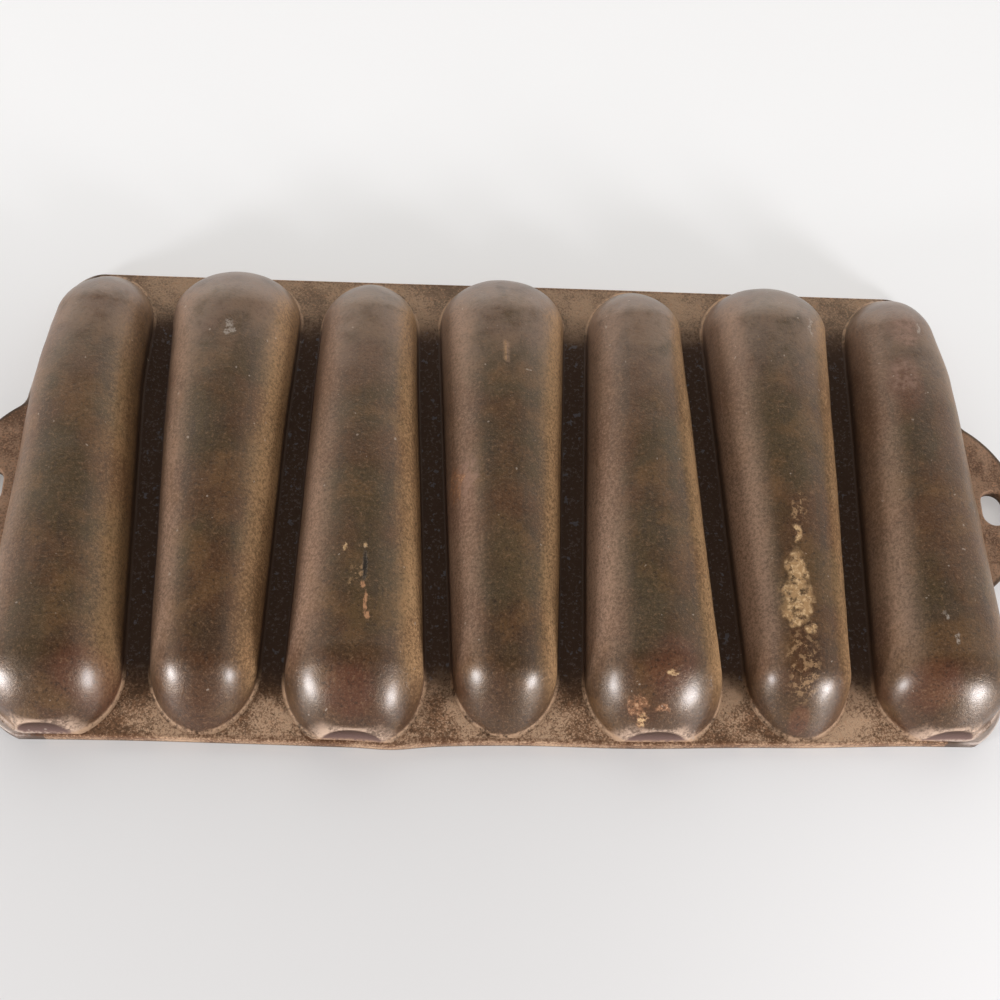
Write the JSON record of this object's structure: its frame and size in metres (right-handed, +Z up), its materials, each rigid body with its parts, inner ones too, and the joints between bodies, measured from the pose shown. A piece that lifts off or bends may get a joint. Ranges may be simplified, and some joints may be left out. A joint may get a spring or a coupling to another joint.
{
  "type": "cast iron corn stick pan",
  "caption": "Cast iron baking pan with a row of ear-of-corn moulds side by side, tips alternating, flat webs between them and a slotted hanging ear at each end.",
  "frame": {"origin": "centre of the rim plane, on which the pan lies rim down with the mould backs up", "axes": "+X along the long side to the right-hand ear, +Y across the pan from the near to the far long edge, +Z up out of the mould backs"},
  "size_m": [0.3202, 0.15, 0.024],
  "materials": {
    "seasoned_iron": "seasoned, satin with a light orange-peel texture",
    "web_iron": "seasoned, dull and sandy with dark pits",
    "ear_iron": "seasoned, dull and sandy"
  },
  "bodies": {
    "root": {"cob_mould_1": "seasoned_iron", "cob_mould_2": "seasoned_iron", "cob_mould_3": "seasoned_iron", "cob_mould_4": "seasoned_iron", "cob_mould_5": "seasoned_iron", "cob_mould_6": "seasoned_iron", "cob_mould_7": "seasoned_iron", "web_1": "web_iron", "web_2": "web_iron", "web_3": "web_iron", "web_4": "web_iron", "web_5": "web_iron", "web_6": "web_iron", "ear_left": "ear_iron", "ear_right": "ear_iron"}
  },
  "joints": []
}
